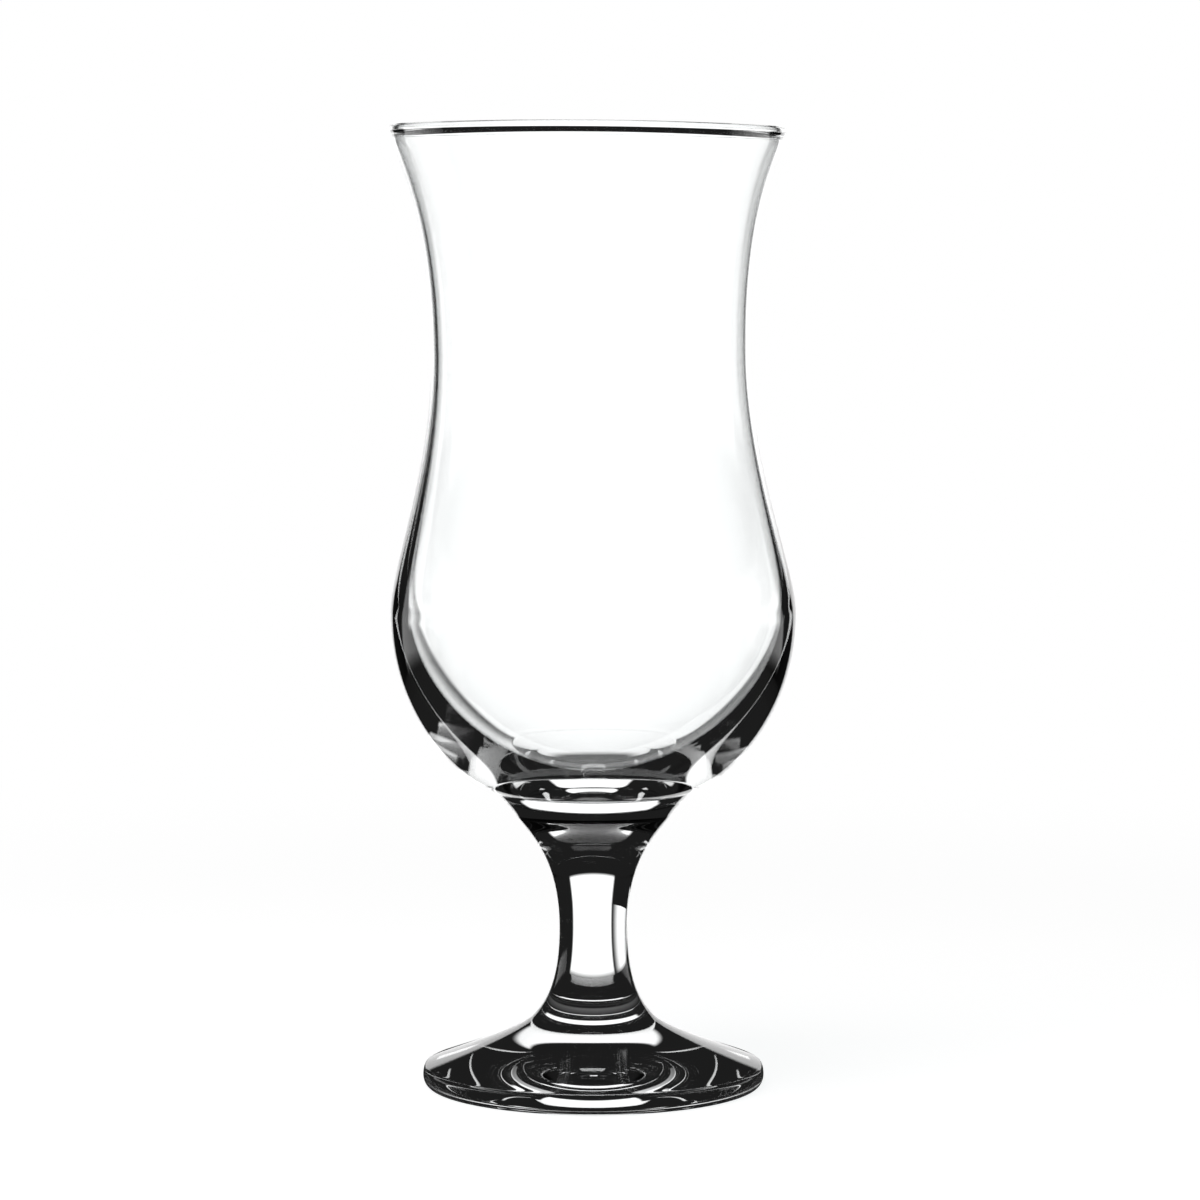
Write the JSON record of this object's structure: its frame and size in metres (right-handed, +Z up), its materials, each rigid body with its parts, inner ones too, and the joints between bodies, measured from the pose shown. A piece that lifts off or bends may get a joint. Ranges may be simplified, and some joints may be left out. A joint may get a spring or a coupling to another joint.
{
  "type": "hurricane glass",
  "caption": "Tall stemmed cocktail glass with a flared mouth, a slim waist, a round belly, a short waisted stem and a wide round foot.",
  "frame": {"origin": "centre of the foot, on the surface that the glass stands on", "axes": "+Z up along the axis of revolution, from the foot to the rim; +X and +Y are alike"},
  "size_m": [0.0838, 0.0838, 0.2],
  "materials": {
    "clear_glass": "clear and fire-polished"
  },
  "bodies": {
    "root": {"bowl": "clear_glass", "stem": "clear_glass", "foot": "clear_glass"}
  },
  "joints": []
}
